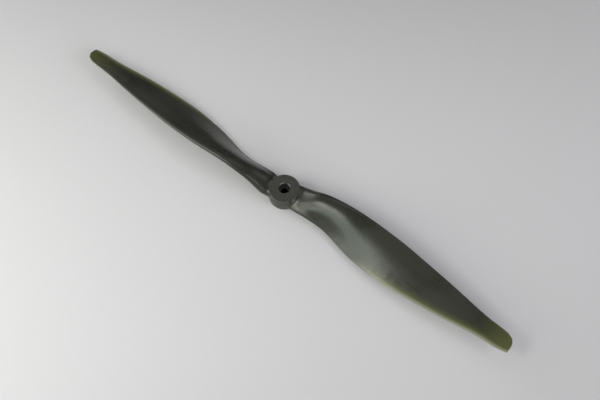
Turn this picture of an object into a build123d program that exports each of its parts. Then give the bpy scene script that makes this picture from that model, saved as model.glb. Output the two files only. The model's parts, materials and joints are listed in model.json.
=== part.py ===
"""Two-blade propeller for an electric model aircraft, with the adapter ring in the back of its hub.

The shaft hole runs along Z. The back of the hub, which goes against the motor, is at Z = 0, and the front
of the hub faces +Z. The blades lie along +X and -X. Seen from the front the propeller turns anticlockwise,
so the leading edge of the +X blade is on its +Y side. All sizes are in millimetres.
"""

import math
import os
from typing import NamedTuple

from build123d import *

INCH = 25.4

# The propeller as a whole
DIAMETER = 12 * INCH
PITCH = 8 * INCH

# Hub: its wall tapers both ways from the mould's parting line
HUB_DIAMETER = 18.0
HUB_THICKNESS = 9.5
HUB_EDGE_BREAK = 0.3
PARTING_HEIGHT = 5.5
MOULD_DRAFT = 1.5
FRONT_BORE_DIAMETER = 6.35
FRONT_BORE_CHAMFER = 0.4
FRONT_LAND = 2.9

# Adapter ring, and the pocket that holds it
POCKET_CHAMFER = 0.3
RING_DIAMETER = 10.0
RING_BORE_DIAMETER = 4.0
RING_CLEARANCE = 0.05
RING_INSET = 0.1
RING_CHAMFER = 0.3

# Blade
CHORD_HEIGHT = 9.8
TRAILING_EDGE_THICKNESS = 0.7
BLADE_NOSE = 0.70
TIP_ROUNDING_LENGTH = 4.5
TIP_ROUNDING_WIDTH = 5.2
TIP_ROUNDING_CENTRE = -0.35

RADIUS = DIAMETER / 2
HUB_RADIUS = HUB_DIAMETER / 2
BACK_RADIUS = HUB_RADIUS - PARTING_HEIGHT * math.tan(math.radians(MOULD_DRAFT))
FRONT_RADIUS = HUB_RADIUS - (HUB_THICKNESS - PARTING_HEIGHT) * math.tan(math.radians(MOULD_DRAFT))
POCKET_DEPTH = HUB_THICKNESS - FRONT_LAND
POCKET_RADIUS = RING_DIAMETER / 2 + RING_CLEARANCE
BORE_RADIUS = FRONT_BORE_DIAMETER / 2
RING_LENGTH = POCKET_DEPTH - RING_INSET


class Station(NamedTuple):
    """One cross-section of the +X blade, taken square to X."""

    radius: float
    chord: float
    thickness: float
    edge_thickness: float
    nose: float  # how full the leading edge is: the share of the crest's height kept near the nose
    forward: float  # how far the middle of the chord lies towards the leading edge
    height: float
    twist: float  # degrees, leading edge up


def helix_angle(radius):
    """Angle of a blade that screws forward by PITCH in one turn."""
    return math.degrees(math.atan(PITCH / (2 * math.pi * radius)))


def working_station(share, chord, thickness, forward):
    """A station on the true helix, at a share of the full radius."""
    radius = share * RADIUS
    twist = helix_angle(radius)
    return Station(
        radius, chord, thickness, TRAILING_EDGE_THICKNESS, BLADE_NOSE, forward, CHORD_HEIGHT, twist
    )


# Near the hub the blade thickens and its twist washes out, so that it joins the hub's wall as a thick oval.
ROOT_STATIONS = [
    Station(2.5, 13.6, 5.2, 4.2, 0.80, 0.6, 4.2, 12),
    Station(8.0, 15.8, 6.0, 4.5, 0.80, 1.4, 4.9, 14),
    Station(13.5, 16.1, 6.5, 4.0, 0.80, 1.7, 6.4, 18),
    Station(20.0, 17.4, 6.3, 2.4, 0.75, 2.1, 8.4, 30),
    Station(30.5, 19.8, 5.8, 1.4, BLADE_NOSE, 2.7, 9.7, 38.5),
    Station(41.0, 22.5, 5.1, 0.9, BLADE_NOSE, 2.2, 10.0, 37.5),
]
WORKING_STATIONS = [
    working_station(0.34, 24.6, 4.4, 1.4),
    working_station(0.42, 25.2, 3.9, 0.8),
    working_station(0.50, 24.8, 3.5, 0.3),
    working_station(0.60, 22.3, 2.95, 0.1),
    working_station(0.70, 19.1, 2.45, 0.1),
    working_station(0.80, 15.1, 2.0, 0.2),
    working_station(0.90, 11.5, 1.5, 0.4),
    working_station(1.00, 7.7, 1.0, 0.5),
]


def section_plane(station):
    """Plane of a station: its x runs along the chord to the leading edge, and its y to the front."""
    twist = math.radians(station.twist)
    return Plane(
        origin=(station.radius, station.forward, station.height),
        x_dir=(0, math.cos(twist), math.sin(twist)),
        z_dir=(1, 0, 0),
    )


# One blade: an airfoil with a rounded leading edge on the right, a blunt round trailing edge on the left, a
# full front and a flatter back, lofted from inside the hub to the tip. The arc round the trailing edge runs
# into the front and the back without a crease.
with BuildPart() as blade:
    for station in ROOT_STATIONS + WORKING_STATIONS:
        half = station.chord / 2
        edge = station.edge_thickness / 2
        crest = 0.60 * station.thickness
        belly = -0.40 * station.thickness
        slope = 1.5 * (crest - edge) / station.chord
        reach = edge * (math.hypot(1, slope) - slope)
        with BuildSketch(section_plane(station)):
            with BuildLine():
                front = Spline(
                    (-half + reach, edge),
                    (-0.20 * station.chord, 0.58 * crest + 0.42 * edge),
                    (0.12 * station.chord, crest),
                    (0.38 * station.chord, station.nose * crest),
                    (half, 0),
                    tangents=((1, slope), (0, -1)),
                )
                back = Spline(
                    (half, 0),
                    (0.34 * station.chord, (0.15 + station.nose) * belly),
                    (0.05 * station.chord, belly),
                    (-half + reach, -edge),
                    tangents=((0, -1), (-1, slope)),
                )
                ThreePointArc(front @ 0, (-half, 0), back @ 1)
            make_face()
    loft()
    with BuildSketch():
        with BuildLine():
            corner = EllipticalCenterArc(
                (RADIUS - TIP_ROUNDING_LENGTH, TIP_ROUNDING_CENTRE),
                TIP_ROUNDING_LENGTH,
                TIP_ROUNDING_WIDTH,
                arc_size=80,
            )
            Polyline(
                corner @ 1,
                (RADIUS / 2, RADIUS / 4),
                (0, RADIUS / 4),
                (0, -RADIUS / 4),
                (RADIUS, -RADIUS / 4),
                corner @ 0,
            )
        make_face()
    extrude(amount=RADIUS / 4, both=True, mode=Mode.INTERSECT)

# The moulding: hub and both blades in one piece. The roots meet the hub's wall just below its front face,
# which is left standing as a flat round seat. The hole in that face opens behind into a wider pocket for the
# adapter ring.
with BuildPart() as hub_and_blades:
    with BuildSketch(Plane.YZ):
        with BuildLine():
            Polyline(
                (0, 0),
                (BACK_RADIUS - HUB_EDGE_BREAK, 0),
                (BACK_RADIUS, HUB_EDGE_BREAK),
                (HUB_RADIUS, PARTING_HEIGHT),
                (FRONT_RADIUS, HUB_THICKNESS - HUB_EDGE_BREAK),
                (FRONT_RADIUS - HUB_EDGE_BREAK, HUB_THICKNESS),
                (0, HUB_THICKNESS),
                close=True,
            )
        make_face()
    revolve(axis=Axis.Z)
    with PolarLocations(0, 2):
        add(blade.part)
    with BuildSketch(Plane.YZ):
        with BuildLine():
            Polyline(
                (0, 0),
                (POCKET_RADIUS + POCKET_CHAMFER, 0),
                (POCKET_RADIUS, POCKET_CHAMFER),
                (POCKET_RADIUS, POCKET_DEPTH),
                (BORE_RADIUS, POCKET_DEPTH),
                (BORE_RADIUS, HUB_THICKNESS - FRONT_BORE_CHAMFER),
                (BORE_RADIUS + FRONT_BORE_CHAMFER, HUB_THICKNESS),
                (0, HUB_THICKNESS),
                close=True,
            )
        make_face()
    revolve(axis=Axis.Z, mode=Mode.SUBTRACT)
hub_and_blades.part.label = "hub_and_blades"

# The adapter ring, pushed in from the back against the pocket's floor.
with BuildPart() as adapter_ring:
    with BuildSketch(Plane.XY.offset(RING_INSET)):
        Circle(RING_DIAMETER / 2)
        Circle(RING_BORE_DIAMETER / 2, mode=Mode.SUBTRACT)
    extrude(amount=RING_LENGTH)
    chamfer(adapter_ring.edges().filter_by(GeomType.CIRCLE), RING_CHAMFER)
adapter_ring.part.label = "adapter_ring"

os.makedirs("parts", exist_ok=True)
export_step(hub_and_blades.part, "parts/hub_and_blades.step")
export_step(adapter_ring.part, "parts/adapter_ring.step")
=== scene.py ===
"""The looks of a two-blade model aircraft propeller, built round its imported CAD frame.

The moulding (hub and both blades) is remeshed from its CAD node, filleted where the blades meet the hub,
and given a crisp hub and stepped bore again. The adapter ring in the hub is turned as a piece of its own.
Shapes are worked out in millimetres, in the CAD's frame, and scaled to metres at the end.
"""

import json
import math

import bmesh
import bpy
import numpy as np
from mathutils import Matrix, Vector
from mathutils.bvhtree import BVHTree
from mathutils.kdtree import KDTree


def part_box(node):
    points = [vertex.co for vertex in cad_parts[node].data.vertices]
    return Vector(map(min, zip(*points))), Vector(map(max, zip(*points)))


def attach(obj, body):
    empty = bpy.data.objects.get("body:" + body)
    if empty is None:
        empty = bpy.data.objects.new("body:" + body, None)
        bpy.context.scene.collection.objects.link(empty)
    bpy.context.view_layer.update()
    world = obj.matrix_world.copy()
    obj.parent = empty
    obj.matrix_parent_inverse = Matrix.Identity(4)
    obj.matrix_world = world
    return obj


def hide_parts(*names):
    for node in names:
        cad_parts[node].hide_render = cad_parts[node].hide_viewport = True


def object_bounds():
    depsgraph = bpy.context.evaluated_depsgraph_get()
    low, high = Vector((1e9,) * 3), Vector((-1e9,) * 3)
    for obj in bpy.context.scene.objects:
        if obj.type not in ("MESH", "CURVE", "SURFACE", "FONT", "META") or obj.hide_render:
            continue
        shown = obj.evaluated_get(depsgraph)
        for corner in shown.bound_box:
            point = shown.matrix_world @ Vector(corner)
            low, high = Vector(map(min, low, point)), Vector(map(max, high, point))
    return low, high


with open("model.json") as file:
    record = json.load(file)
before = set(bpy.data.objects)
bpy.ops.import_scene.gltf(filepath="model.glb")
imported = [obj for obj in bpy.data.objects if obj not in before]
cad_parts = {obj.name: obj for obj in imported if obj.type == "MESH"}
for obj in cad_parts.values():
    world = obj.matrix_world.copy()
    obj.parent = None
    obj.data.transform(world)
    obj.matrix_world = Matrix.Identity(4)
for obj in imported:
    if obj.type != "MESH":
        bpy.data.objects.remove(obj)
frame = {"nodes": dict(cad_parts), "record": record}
cad_low, cad_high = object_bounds()
scene = bpy.context.scene

MM = 0.001
MOULDING_NODE = "hub_and_blades"
RING_NODE = "adapter_ring"
MOUNTS = {mount["name"]: mount for mount in frame["record"]["mounts"]}

# Hub and bore, in mm. They repeat the CAD's sizes, but the rims are rounded instead of chamfered.
HUB_HEIGHT = MOUNTS["front_face"]["pos_m"][2] / MM
HUB_RADIUS = 9.0
HUB_BACK_RADIUS = 8.856
HUB_FRONT_RADIUS = 8.895
PARTING_HEIGHT = 5.5
RIM_ROUNDING = 0.35
FLASH_HEIGHT = 0.14
FLASH_HALF_WIDTH = 0.32
BORE_RADIUS = MOUNTS["front_bore"]["dims"]["r_mm"]
BORE_CHAMFER = 0.4
POCKET_RADIUS = 5.05
POCKET_DEPTH = 6.6
POCKET_CHAMFER = 0.3
RING_BORE_RADIUS = MOUNTS["shaft_bore"]["dims"]["r_mm"]
RING_ROUNDING = 0.3
TURNED_SEGMENTS = 192
ROUNDING_POINTS = 5
LOWER_WALL_POINTS = 20
UPPER_WALL_POINTS = 16
RING_WALL_POINTS = 8
OVERSHOOT = 1.0  # how far the cutting and joining solids run past what they cut or join

# Remesh of the moulding, in mm. Faces are short near the hub and at the tips, and long on the blades,
# because each blade is squeezed to BLADE_STRETCH of its length for the remesh, and its tip hardly at all.
VOXEL = 0.28
FINE_HALF_LENGTH = 20.0
FINE_FADE = (FINE_HALF_LENGTH - 4, FINE_HALF_LENGTH + 8)
FINE_TIP_LENGTH = 4.0
BLADE_STRETCH = 0.32
TIP_SHARE = 0.8
LENGTH_SAMPLES = 4000
PAST_TIP = 1.02  # the lengths are listed a little past the tip
WELD_DISTANCE = 1e-4
SMALLEST_AREA = 1e-12
BULGE_SHARE = 0.75  # how much of the rounding between facets is used
PLUG_RADIUS = POCKET_RADIUS + 1.5
PLUG_MARGIN = 0.1

# Fillets between the blades and the hub: smoothing that fades out with the distance from the crease. Lengths
# are in mm and the angle is in radians.
CREASE_ANGLE = 0.25
CREASE_MARGIN = 0.6
FILLET_CORE = 0.8
FILLET_REACH = 5.0
FILLET_STEPS = 150
FAIRING_STEPS = 4
FAIRING_PUSH = 0.53  # a little more than the 0.5 it follows, so that the blades don't shrink

# The remeshed hub goes this far under the crisp one, in mm, away from the fillets
SINK = 0.12
SINK_FADE = (0.5 * FILLET_REACH, 0.9 * FILLET_REACH)
SINK_MARGIN = 0.2

# Smoothing of the attributes that the material reads, and the angle from which an edge is shaded sharp
ATTRIBUTE_STEPS = 3
ATTRIBUTE_PULL = 0.7
MOULDING_SHARP_DEGREES = 32
RING_SHARP_DEGREES = 40


def smoothstep(x, low, high):
    t = np.clip((x - low) / (high - low), 0, 1)
    return t * t * (3 - 2 * t)


def read_vectors(items, attribute):
    values = np.empty(len(items) * 3, np.float32)
    items.foreach_get(attribute, values)
    return values.reshape(-1, 3).astype(float)


def read_indices(items, attribute, width):
    values = np.empty(len(items) * width, np.int32)
    items.foreach_get(attribute, values)
    return values.reshape(-1, width)


def write_positions(mesh, positions):
    mesh.vertices.foreach_set("co", positions.astype(np.float32).ravel())
    mesh.update()


def link(name, mesh):
    obj = bpy.data.objects.new(name, mesh)
    scene.collection.objects.link(obj)
    return obj


def remove(*objs):
    for obj in objs:
        mesh = obj.data
        bpy.data.objects.remove(obj)
        bpy.data.meshes.remove(mesh)


def evaluated_mesh(obj):
    graph = bpy.context.evaluated_depsgraph_get()
    return bpy.data.meshes.new_from_object(obj.evaluated_get(graph))


def turned_solid(name, profile):
    """A closed solid turned about Z. Its profile is (radius, z) points, and one that starts off the axis
    closes on itself."""
    verts, rings = [], []
    angles = [2 * math.pi * k / TURNED_SEGMENTS for k in range(TURNED_SEGMENTS)]
    for radius, z in profile:
        if radius:
            rings.append(range(len(verts), len(verts) + TURNED_SEGMENTS))
            verts += [(radius * math.cos(a), radius * math.sin(a), z) for a in angles]
        else:
            rings.append([len(verts)] * TURNED_SEGMENTS)
            verts.append((0, 0, z))
    if profile[0][0]:
        rings.append(rings[0])
    faces = []
    for low, high in zip(rings, rings[1:]):
        for k in range(TURNED_SEGMENTS):
            n = (k + 1) % TURNED_SEGMENTS
            corners = list(dict.fromkeys((low[k], low[n], high[n], high[k])))
            if len(corners) > 2:
                faces.append(corners)
    mesh = bpy.data.meshes.new(name)
    mesh.from_pydata(verts, [], faces)
    mesh.update()
    return link(name, mesh)


def quarter_round(radius, z, size, start_degrees):
    """Points round a rim whose corner would be at (radius, z)."""
    turn = math.radians(start_degrees)
    centre_r = radius - size * math.copysign(1, math.cos(turn + math.pi / 4))
    centre_z = z - size * math.copysign(1, math.sin(turn + math.pi / 4))
    return [
        (centre_r + size * math.cos(turn + a), centre_z + size * math.sin(turn + a))
        for a in np.linspace(0, math.pi / 2, ROUNDING_POINTS)
    ]


class CadSurface:
    """The CAD node's facets, with the CAD's own normals at their corners, in mm."""

    def __init__(self, node):
        mesh = node.data
        mesh.calc_loop_triangles()
        self.points = read_vectors(mesh.vertices, "co") / MM
        self.triangles = read_indices(mesh.loop_triangles, "vertices", 3)
        corners = read_indices(mesh.loop_triangles, "loops", 3)
        self.normals = read_vectors(mesh.corner_normals, "vector")[corners]
        self.tree = BVHTree.FromPolygons(
            [Vector(p) for p in self.points], self.triangles.tolist()
        )

    def welded(self):
        """A bmesh of the facets with their split edges joined."""
        bm = bmesh.new()
        for p in self.points:
            bm.verts.new(p)
        bm.verts.ensure_lookup_table()
        for a, b, c in self.triangles:
            bm.faces.new((bm.verts[a], bm.verts[b], bm.verts[c]))
        bmesh.ops.remove_doubles(bm, verts=bm.verts, dist=WELD_DISTANCE)
        return bm

    def nearest(self, points):
        """The nearest place on the surface to each point, rounded between the facets by their normals."""
        index = np.empty(len(points), int)
        place = np.empty((len(points), 3))
        for k, p in enumerate(points):
            place[k], _, index[k], _ = self.tree.find_nearest(Vector(p))
        corners = self.points[self.triangles[index]]
        normals = self.normals[index]
        side_b = corners[:, 1] - corners[:, 0]
        side_c = corners[:, 2] - corners[:, 0]
        inner = place - corners[:, 0]
        bb, bc, cc = (side_b * side_b).sum(1), (side_b * side_c).sum(1), (side_c * side_c).sum(1)
        ib, ic = (inner * side_b).sum(1), (inner * side_c).sum(1)
        area = np.maximum(bb * cc - bc * bc, SMALLEST_AREA)
        share_b = np.clip((cc * ib - bc * ic) / area, 0, 1)
        share_c = np.clip((bb * ic - bc * ib) / area, 0, 1)
        shares = np.stack([1 - share_b - share_c, share_b, share_c], 1)[:, :, None]
        height = ((place[:, None] - corners) * normals).sum(2)[:, :, None]
        bulged = ((place[:, None] - height * normals) * shares).sum(1)
        return place + BULGE_SHARE * (bulged - place)


def root_crease(bm):
    """Points along the creases where the blade roots meet the hub's wall."""
    points = []
    for e in bm.edges:
        if len(e.link_faces) != 2 or e.calc_face_angle_signed(0) > -CREASE_ANGLE:
            continue
        ends = [v.co.copy() for v in e.verts]
        middle = (ends[0] + ends[1]) / 2
        if abs(middle.xy.length - HUB_RADIUS) < CREASE_MARGIN:
            points += [*ends, middle]
    return points


def blade_lengths(half_span):
    """Distances along a blade, and where each goes so that an even remesh gives long faces on the blade."""
    x = np.linspace(0, PAST_TIP * half_span, LENGTH_SAMPLES)
    rate = 1 - (1 - BLADE_STRETCH) * smoothstep(x, *FINE_FADE)
    tip = smoothstep(x, half_span - 2 * FINE_TIP_LENGTH, half_span - FINE_TIP_LENGTH)
    rate += TIP_SHARE * (1 - BLADE_STRETCH) * tip
    steps = (rate[1:] + rate[:-1]) / 2 * np.diff(x)
    return x, np.concatenate([[0], np.cumsum(steps)])


def stretch(positions, source, target):
    positions[:, 0] = np.sign(positions[:, 0]) * np.interp(abs(positions[:, 0]), source, target)


class Smoother:
    """The edges of a mesh, for averaging over neighbours."""

    def __init__(self, mesh):
        self.edges = read_indices(mesh.edges, "vertices", 2)
        self.count = np.bincount(self.edges.ravel(), minlength=len(mesh.vertices))

    def pull(self, values):
        """How far the mean of its neighbours lies from each vertex's value."""
        a, b = self.edges.T
        total = [
            np.bincount(a, column[b], len(values)) + np.bincount(b, column[a], len(values))
            for column in values.T
        ]
        return np.stack(total, 1) / self.count[:, None] - values


def remeshed_body(surface):
    """The moulding's outside with its holes filled, evenly meshed, its roots filleted into the hub, and the
    rest of its hub sunk just under where the crisp hub goes."""
    half_span = surface.points[:, 0].max()
    along, squeezed = blade_lengths(half_span)
    bm = surface.welded()
    crease = root_crease(bm)
    mesh = bpy.data.meshes.new("source")
    bm.to_mesh(mesh)
    bm.free()
    positions = read_vectors(mesh.vertices, "co")
    stretch(positions, along, squeezed)
    write_positions(mesh, positions)
    source = link("source", mesh)
    plug = turned_solid("plug", [(0, 0), (PLUG_RADIUS, 0), (PLUG_RADIUS, HUB_HEIGHT), (0, HUB_HEIGHT)])
    with bpy.context.temp_override(
        active_object=source, selected_editable_objects=[source, plug]
    ):
        bpy.ops.object.join()
    remesh = source.modifiers.new("remesh", "REMESH")
    remesh.mode = "VOXEL"
    remesh.voxel_size = VOXEL
    mesh = evaluated_mesh(source)
    remove(source)

    positions = read_vectors(mesh.vertices, "co")
    stretch(positions, squeezed, along)
    core = np.hypot(positions[:, 0], positions[:, 1]) < PLUG_RADIUS - PLUG_MARGIN
    positions[~core] = surface.nearest(positions[~core])
    positions[core, 2] = np.where(positions[core, 2] > HUB_HEIGHT / 2, HUB_HEIGHT, 0)

    tree = KDTree(len(crease))
    for k, p in enumerate(crease):
        tree.insert(p, k)
    tree.balance()
    away = np.full(len(positions), 10 * FILLET_REACH)
    for k in np.nonzero(abs(positions[:, 0]) < FINE_HALF_LENGTH)[0]:
        away[k] = tree.find(Vector(positions[k]))[2]
    smoother = Smoother(mesh)
    weight = 0.5 * (1 - smoothstep(away, FILLET_CORE, FILLET_REACH))[:, None]
    for _ in range(FILLET_STEPS):
        positions += weight * smoother.pull(positions)
    for _ in range(FAIRING_STEPS):
        positions += 0.5 * smoother.pull(positions)
        positions -= FAIRING_PUSH * smoother.pull(positions)

    radius = np.hypot(positions[:, 0], positions[:, 1])
    sink = SINK * smoothstep(away, *SINK_FADE)
    sink *= (radius < HUB_RADIUS + SINK_MARGIN) & (positions[:, 2] < HUB_HEIGHT + SINK_MARGIN / 2)
    positions[:, :2] *= (1 - sink / np.maximum(radius, 1))[:, None]
    positions[:, 2] += sink * (1 - positions[:, 2] / (HUB_HEIGHT / 2))
    write_positions(mesh, positions)
    return link("body", mesh)


def hub_profile():
    """The solid hub from its back to its front, with a line of flash at the parting line."""
    flash_low, flash_high = PARTING_HEIGHT - FLASH_HALF_WIDTH, PARTING_HEIGHT + FLASH_HALF_WIDTH
    profile = [(0, 0), (POCKET_RADIUS + OVERSHOOT, 0)]
    profile += quarter_round(HUB_BACK_RADIUS, 0, RIM_ROUNDING, -90)
    for z in np.linspace(RIM_ROUNDING, flash_low, LOWER_WALL_POINTS)[1:]:
        radius = np.interp(z, (0, PARTING_HEIGHT), (HUB_BACK_RADIUS, HUB_RADIUS))
        profile.append((radius, z))
    profile += [(HUB_RADIUS + FLASH_HEIGHT, PARTING_HEIGHT)]
    for z in np.linspace(flash_high, HUB_HEIGHT - RIM_ROUNDING, UPPER_WALL_POINTS)[:-1]:
        radius = np.interp(z, (PARTING_HEIGHT, HUB_HEIGHT), (HUB_RADIUS, HUB_FRONT_RADIUS))
        profile.append((radius, z))
    profile += quarter_round(HUB_FRONT_RADIUS, HUB_HEIGHT, RIM_ROUNDING, 0)
    profile += [(POCKET_RADIUS + OVERSHOOT, HUB_HEIGHT), (0, HUB_HEIGHT)]
    return profile


def bore_profile():
    """What is cut out of the hub: the ring's pocket at the back and the narrower hole in front of it."""
    return [
        (0, -OVERSHOOT),
        (POCKET_RADIUS + POCKET_CHAMFER, -OVERSHOOT),
        (POCKET_RADIUS + POCKET_CHAMFER, 0),
        (POCKET_RADIUS, POCKET_CHAMFER),
        (POCKET_RADIUS, POCKET_DEPTH),
        (BORE_RADIUS, POCKET_DEPTH),
        (BORE_RADIUS, HUB_HEIGHT - BORE_CHAMFER),
        (BORE_RADIUS + BORE_CHAMFER, HUB_HEIGHT),
        (BORE_RADIUS + BORE_CHAMFER, HUB_HEIGHT + OVERSHOOT),
        (0, HUB_HEIGHT + OVERSHOOT),
    ]


def trailing_distances(positions):
    """How far each point lies from its blade's trailing edge, across the blade in mm. The edge is found in
    slots 1 mm long, and runs straight between their middles."""
    along = abs(positions[:, 0])
    across = positions[:, 1] * np.sign(positions[:, 0])
    slots = along.astype(int)
    edge = np.full(slots.max() + 1, np.inf)
    np.minimum.at(edge, slots, across)
    return across - np.interp(along, np.arange(len(edge)) + 0.5, edge)


def write_attribute(mesh, name, values):
    attribute = mesh.attributes.new(name, "FLOAT", "POINT")
    attribute.data.foreach_set("value", values.astype(np.float32))


def finished_piece(name, obj, sharp_degrees):
    """Scales a piece from mm to metres and shades it smooth between its sharp edges."""
    mesh = obj.data
    write_positions(mesh, read_vectors(mesh.vertices, "co") * MM)
    mesh.polygons.foreach_set("use_smooth", [True] * len(mesh.polygons))
    mesh.set_sharp_from_angle(angle=math.radians(sharp_degrees))
    obj.name = mesh.name = name
    return obj


def make_moulding():
    """The hub and blades in one piece, with two attributes for the material: the distance from the trailing
    edge, and how sharply the surface stands out."""
    body = remeshed_body(CadSurface(frame["nodes"][MOULDING_NODE]))
    hub = turned_solid("hub", hub_profile())
    bore = turned_solid("bore", bore_profile())
    for tool, operation in ((hub, "UNION"), (bore, "DIFFERENCE")):
        boolean = body.modifiers.new(operation, "BOOLEAN")
        boolean.operation = operation
        boolean.solver = "MANIFOLD"
        boolean.object = tool
    moulding = link("moulding_skin", evaluated_mesh(body))
    remove(body, hub, bore)
    mesh = moulding.data
    positions = read_vectors(mesh.vertices, "co")
    normals = read_vectors(mesh.vertex_normals, "vector")
    smoother = Smoother(mesh)
    values = np.stack([trailing_distances(positions), (smoother.pull(positions) * -normals).sum(1)], 1)
    for _ in range(ATTRIBUTE_STEPS):
        values += ATTRIBUTE_PULL * smoother.pull(values)
    low, high = np.array(cad_low) / MM, np.array(cad_high) / MM
    write_positions(mesh, np.clip(positions, low, high))
    write_attribute(mesh, "from_trailing_edge", values[:, 0])
    write_attribute(mesh, "ridge", values[:, 1] / VOXEL)
    return finished_piece("moulding_skin", moulding, MOULDING_SHARP_DEGREES)


def make_ring():
    """The adapter ring, turned with rounded rims."""
    low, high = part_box(RING_NODE)
    outer, bottom, top = high.x / MM, low.z / MM, high.z / MM
    heights = np.linspace(bottom, top, RING_WALL_POINTS)[1:-1]
    profile = quarter_round(outer, bottom, RING_ROUNDING, -90)
    profile += [(outer, z) for z in heights]
    profile += quarter_round(outer, top, RING_ROUNDING, 0)
    profile += quarter_round(RING_BORE_RADIUS, top, RING_ROUNDING, 90)
    profile += [(RING_BORE_RADIUS, z) for z in heights[::-1]]
    profile += quarter_round(RING_BORE_RADIUS, bottom, RING_ROUNDING, 180)
    return finished_piece("adapter_ring_skin", turned_solid("ring", profile), RING_SHARP_DEGREES)


class Nodes:
    """Short calls that add nodes to one material."""

    def __init__(self, name):
        self.material = bpy.data.materials.new(name)
        self.material.use_nodes = True
        self.tree = self.material.node_tree
        self.shader = self.tree.nodes["Principled BSDF"]
        self.place = self.add("ShaderNodeTexCoord").outputs["Object"]

    def add(self, kind, inputs=None, **settings):
        node = self.tree.nodes.new(kind)
        for key, value in settings.items():
            setattr(node, key, value)
        for key, value in (inputs or {}).items():
            if isinstance(value, bpy.types.NodeSocket):
                self.tree.links.new(value, node.inputs[key])
            else:
                node.inputs[key].default_value = value
        return node

    def attribute(self, name):
        return self.add("ShaderNodeAttribute", attribute_name=name).outputs["Fac"]

    def math(self, operation, *values):
        return self.add("ShaderNodeMath", dict(enumerate(values)), operation=operation).outputs[0]

    def noise(self, size, detail=2.0, roughness=0.5, along=1.0, seed=0.0):
        """Noise whose features are about size mm across, and along times that along the blades."""
        per_metre = 1 / (size * MM)
        scale = (per_metre / along, per_metre, per_metre)
        placed = self.add(
            "ShaderNodeMapping", {"Vector": self.place, "Location": (seed, seed, seed), "Scale": scale}
        ).outputs[0]
        return self.add(
            "ShaderNodeTexNoise", {"Vector": placed, "Scale": 1.0, "Detail": detail, "Roughness": roughness}
        ).outputs["Fac"]

    def ramp(self, value, low, high, low_value=0.0, high_value=1.0):
        """A smooth step from low_value at low to high_value at high."""
        return self.add(
            "ShaderNodeMapRange",
            {"Value": value, "From Min": low, "From Max": high, "To Min": low_value, "To Max": high_value},
            interpolation_type="SMOOTHSTEP",
        ).outputs["Result"]

    def mix(self, share, a, b, blend="MIX"):
        node = self.add("ShaderNodeMix", data_type="RGBA", blend_type=blend)
        for index, value in ((0, share), (6, a), (7, b)):
            if isinstance(value, bpy.types.NodeSocket):
                self.tree.links.new(value, node.inputs[index])
            else:
                node.inputs[index].default_value = value
        return node.outputs[2]

    def bump(self, height, distance, strength, normal=None):
        inputs = {"Height": height, "Distance": distance * MM, "Strength": strength}
        if normal:
            inputs["Normal"] = normal
        return self.add("ShaderNodeBump", inputs).outputs[0]

    def finish(self, color, roughness, normal):
        for key, value in (("Base Color", color), ("Roughness", roughness), ("Normal", normal)):
            self.tree.links.new(value, self.shader.inputs[key])
        return self.material


def grey(value):
    return (value, value, value, 1)


# Colours, as linear red, green and blue
NYLON = (0.0235, 0.0245, 0.0185, 1)
NYLON_PALE = (0.0330, 0.0345, 0.0270, 1)
# Painted light: the next two colours stand for light shining through thin nylon and through its trailing edge
NYLON_LIT_THROUGH = (0.078, 0.084, 0.030, 1)
NYLON_EDGE_LIGHT = (0.22, 0.23, 0.165, 1)
NYLON_WORN = (0.075, 0.078, 0.065, 1)
RING_PLASTIC = (0.0150, 0.0150, 0.0140, 1)
RING_PALE = (0.0260, 0.0260, 0.0240, 1)
TABLE = (0.604, 0.593, 0.613, 1)
TABLE_CLOUD = (0.52, 0.52, 0.52, 1)
TABLE_GRAIN = (0.5, 0.5, 0.5, 1)

# Painted light: where the nylon is thin, at the tip and near the trailing edge, the light that shines through
# it is painted into the colour as olive, with a paler painted line of that light along the edge itself. Each
# look fades in from the first value to the second. Distances from the edge are in mm, and from the shaft in
# metres.
LIT_THROUGH_SPAN_FROM_EDGE = (4.8, 0.8)
EDGE_LINE_LIGHT_FROM_EDGE = (2.2, 0.0)
OUTER_BLADE = (0.050, 0.085)
LIT_THROUGH_TIP = (0.126, 0.157)


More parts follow.
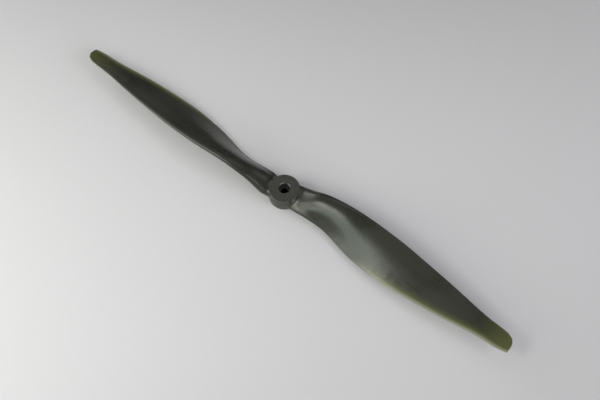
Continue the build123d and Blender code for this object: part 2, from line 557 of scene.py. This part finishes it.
def nylon_material():
    n = Nodes("glass_filled_nylon")
    clouds = n.noise(22, detail=3, roughness=0.55, along=1.6)
    fibres = n.noise(0.5, detail=3, roughness=0.6, along=9.0, seed=3)
    grain = n.noise(0.35, seed=7)
    color = n.mix(n.ramp(clouds, 0.35, 0.68), NYLON, NYLON_PALE)
    color = n.mix(n.ramp(fibres, 0.5, 0.8, 0, 0.1), color, NYLON_PALE)

    from_shaft = n.math("ABSOLUTE", n.add("ShaderNodeSeparateXYZ", {"Vector": n.place}).outputs["X"])
    from_edge = n.attribute("from_trailing_edge")
    outer = n.ramp(from_shaft, *OUTER_BLADE)
    # Painted light: olive where light shines through the thin nylon, near the trailing edge and at the tip
    lit_through_share = n.math("MULTIPLY", n.ramp(from_edge, *LIT_THROUGH_SPAN_FROM_EDGE), outer)
    lit_through_share = n.math("MAXIMUM", lit_through_share, n.ramp(from_shaft, *LIT_THROUGH_TIP))
    color = n.mix(lit_through_share, color, NYLON_LIT_THROUGH)
    # Painted light: a paler line where light shines through the trailing edge itself
    edge_line_light = n.math("MULTIPLY", n.ramp(from_edge, *EDGE_LINE_LIGHT_FROM_EDGE), outer)
    color = n.mix(edge_line_light, color, NYLON_EDGE_LIGHT)

    ridges = n.ramp(n.attribute("ridge"), 0.05, 0.25)
    patches = n.ramp(n.noise(0.9, detail=4, roughness=0.7, seed=11), 0.5, 0.7)
    scuffs = n.math("MULTIPLY", ridges, patches)
    color = n.mix(n.math("MULTIPLY", scuffs, 0.5), color, NYLON_WORN)

    roughness = n.math("ADD", n.ramp(clouds, 0.3, 0.7, 0.24, 0.30), n.ramp(fibres, 0.4, 0.7, 0.0, 0.02))
    roughness = n.math("ADD", roughness, n.math("MULTIPLY", scuffs, 0.15))
    normal = n.bump(n.noise(2.2, along=1.5, seed=5), distance=0.05, strength=0.12)
    normal = n.bump(fibres, distance=0.012, strength=0.04, normal=normal)
    normal = n.bump(grain, distance=0.01, strength=0.2, normal=normal)
    n.shader.inputs["IOR"].default_value = 1.53
    return n.finish(color, roughness, normal)


def ring_material():
    n = Nodes("ring_plastic")
    clouds = n.noise(2.5, detail=3, roughness=0.6, seed=2)
    grain = n.noise(0.25, seed=9)
    color = n.mix(n.ramp(clouds, 0.35, 0.7), RING_PLASTIC, RING_PALE)
    roughness = n.ramp(clouds, 0.3, 0.7, 0.36, 0.46)
    normal = n.bump(grain, distance=0.015, strength=0.4)
    n.shader.inputs["IOR"].default_value = 1.5
    return n.finish(color, roughness, normal)


# Painted light: the table top's colour carries a gentle gradient of light and shade. Its logarithm is a
# constant plus factors of x, y, x*x, x*y and y*y, with x and y in metres, and it stays level further out than
# the reach below.
TABLE_PAINTED_LIGHT = (0.041, -0.336, -0.791, -4.24, 7.40, -1.68)
PAINTED_LIGHT_REACH = 0.25


def table_material():
    n = Nodes("table_top")
    paper = n.noise(1.2, detail=3, roughness=0.6, seed=4)
    clouds = n.noise(160, seed=6)
    color = n.mix(n.ramp(clouds, 0.3, 0.7, 0, 0.12), TABLE, TABLE_CLOUD)
    color = n.mix(n.ramp(paper, 0.3, 0.7, 0, 0.04), color, TABLE_GRAIN)
    across = n.add("ShaderNodeSeparateXYZ", {"Vector": n.place}).outputs
    x, y = (
        n.math("MAXIMUM", n.math("MINIMUM", across[axis], PAINTED_LIGHT_REACH), -PAINTED_LIGHT_REACH)
        for axis in "XY"
    )
    # Painted light: the gradient of light and shade across the table, multiplied into its colour
    table_light = TABLE_PAINTED_LIGHT[0]
    products = (x, y, n.math("MULTIPLY", x, x), n.math("MULTIPLY", x, y), n.math("MULTIPLY", y, y))
    for factor, product in zip(TABLE_PAINTED_LIGHT[1:], products):
        table_light = n.math("MULTIPLY_ADD", product, factor, table_light)
    color = n.mix(1.0, color, n.math("EXPONENT", table_light), "MULTIPLY")
    roughness = n.ramp(paper, 0.3, 0.7, 0.62, 0.7)
    normal = n.bump(paper, distance=0.02, strength=0.15)
    n.shader.inputs["Specular IOR Level"].default_value = 0.25
    return n.finish(color, roughness, normal)


def dress(obj, material, body, node):
    """Gives a piece its material, parents it to the empty of the body it rides, and hides the CAD node it
    stands for.
    """
    obj.data.materials.clear()
    obj.data.materials.append(material)
    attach(obj, body)
    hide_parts(node)


dress(make_moulding(), nylon_material(), "moulding", MOULDING_NODE)
dress(make_ring(), ring_material(), "ring", RING_NODE)


FLOOR_HALF_SIZE = 3.0


def make_floor():
    mesh = bpy.data.meshes.new("floor")
    half = FLOOR_HALF_SIZE
    corners = [(-half, -half, 0), (half, -half, 0), (half, half, 0), (-half, half, 0)]
    mesh.from_pydata(corners, [], [(0, 1, 2, 3)])
    mesh.materials.append(table_material())
    link("floor", mesh)


WARM = (1.0, 0.99, 0.87)
GREENISH = (0.84, 1.0, 0.88)
COOL = (0.98, 0.98, 1.0)

# Name, azimuth and elevation in degrees, width and height in metres, power in watts, colour
SOFTBOXES = (
    ("key", -37, 44, 0.40, 0.30, 2.3, WARM),
    ("key_low", -42, 14, 0.50, 0.36, 2.9, WARM),
    ("key_right", -17, 30, 0.26, 0.55, 1.7, GREENISH),
    ("left_window", -84, 14, 1.00, 0.50, 7.8, COOL),
    ("right_window", 84, 28, 1.10, 0.80, 10.0, COOL),
    ("front_fill", 35, 38, 0.50, 0.50, 0.9, COOL),
    ("ceiling", -139, 60, 0.60, 0.60, 0.7, COOL),
    ("back_wall", 148, 26, 0.80, 0.60, 1.1, COOL),
)
SOFTBOX_DISTANCE = 1.0
WORLD_BRIGHTNESS = 0.03


def make_softbox(name, azimuth, elevation, width, height, power, color):
    """A rectangular lamp that faces the hub. Azimuth 0 is on the -Y side and 90 on the +X side."""
    a, e = math.radians(azimuth), math.radians(elevation)
    towards = Vector((math.sin(a) * math.cos(e), -math.cos(a) * math.cos(e), math.sin(e)))
    lamp = bpy.data.lights.new(name, "AREA")
    lamp.shape = "RECTANGLE"
    lamp.size, lamp.size_y = width, height
    lamp.color = color
    lamp.energy = power
    obj = link(name, lamp)
    obj.location = towards * SOFTBOX_DISTANCE
    obj.rotation_euler = towards.to_track_quat("Z", "Y").to_euler()


def make_world():
    world = bpy.data.worlds.new("studio")
    world.use_nodes = True
    world.node_tree.nodes["Background"].inputs["Color"].default_value = grey(WORLD_BRIGHTNESS)
    scene.world = world


# The camera's place in metres, the directions of its frame's right and top, and its focal length in mm
CAMERA_PLACE = (0.1884, -0.2182, 0.5069)
CAMERA_RIGHT = (0.7766, 0.6300, 0.0)
CAMERA_UP = (-0.5489, 0.6766, 0.4910)
CAMERA_LENS = 60.91
NEAR_CLIP = 0.01


def make_camera():
    right = Vector(CAMERA_RIGHT).normalized()
    back = right.cross(Vector(CAMERA_UP)).normalized()
    data = bpy.data.cameras.new("camera")
    data.lens = CAMERA_LENS
    data.clip_start = NEAR_CLIP
    camera = link("camera", data)
    camera.matrix_world = Matrix.Translation(CAMERA_PLACE) @ Matrix(
        (right, back.cross(right), back)
    ).transposed().to_4x4()
    scene.camera = camera


make_floor()
for softbox in SOFTBOXES:
    make_softbox(*softbox)
make_world()
make_camera()
scene.view_settings.view_transform = "Standard"
